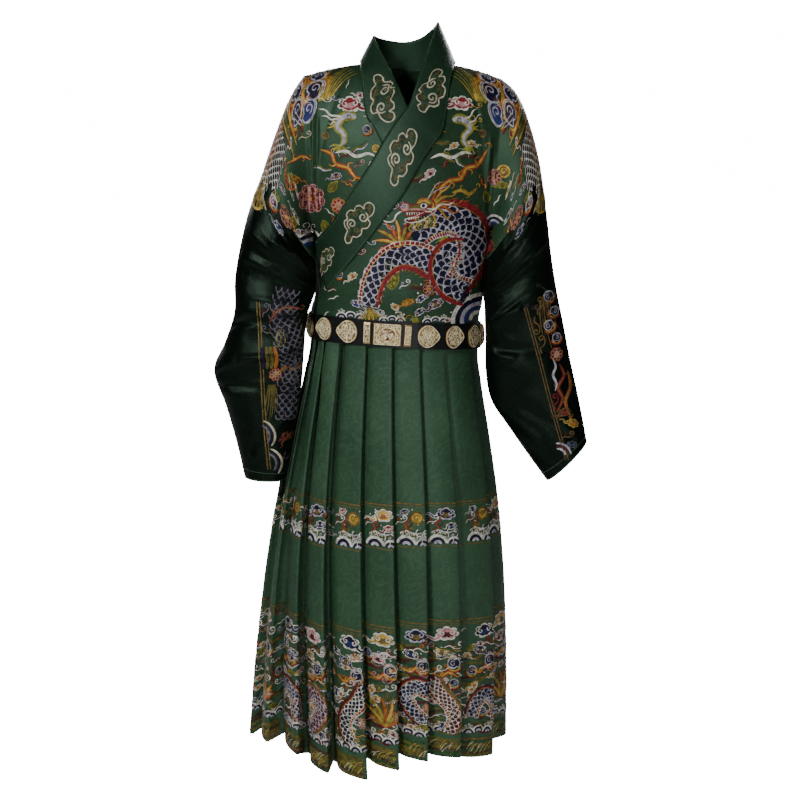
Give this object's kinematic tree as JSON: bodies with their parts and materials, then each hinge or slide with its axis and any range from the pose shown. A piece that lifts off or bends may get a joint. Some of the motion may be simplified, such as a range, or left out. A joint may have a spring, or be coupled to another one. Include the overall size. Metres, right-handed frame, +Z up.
{
  "type": "flying fish robe",
  "caption": "Crossed-collar green silk robe in its hollow worn form, with wide sleeves, a knife-pleated skirt, flying fish and cloud embroidery and a black belt with gilt plaques.",
  "frame": {"origin": "middle of the neck at shoulder height, where the wearer's shoulders carry the robe", "axes": "+Z up, +X to the wearer's left, -Y out of the front"},
  "size_m": [0.6869, 0.3742, 1.3648],
  "materials": {
    "robe_silk": "dark green silk satin brocade with embroidery",
    "collar_silk": "dark green silk band with pale cloud motifs",
    "skirt_silk": "grey green silk damask with woven bands",
    "strap_leather": "smooth black leather",
    "plaque_metal": "pale gilt, pierced and chased"
  },
  "bodies": {
    "root": {"body_left": "robe_silk", "body_right": "robe_silk", "sleeve_left": "robe_silk", "sleeve_right": "robe_silk", "collar": "collar_silk", "skirt": "skirt_silk", "belt_strap": "strap_leather", "plaque_centre": "plaque_metal", "plaque_narrow_left": "plaque_metal", "plaque_narrow_right": "plaque_metal", "plaque_peach_left_1": "plaque_metal", "plaque_peach_left_2": "plaque_metal", "plaque_peach_left_3": "plaque_metal", "plaque_peach_right_1": "plaque_metal", "plaque_peach_right_2": "plaque_metal", "plaque_peach_right_3": "plaque_metal", "plaque_side_left": "plaque_metal", "plaque_side_right": "plaque_metal", "plaque_tongue_left": "plaque_metal", "plaque_tongue_right": "plaque_metal", "plaque_back_left_1": "plaque_metal", "plaque_back_left_2": "plaque_metal", "plaque_back_left_3": "plaque_metal", "plaque_back_right_1": "plaque_metal", "plaque_back_right_2": "plaque_metal", "plaque_back_right_3": "plaque_metal", "plaque_back_centre": "plaque_metal"}
  },
  "joints": []
}
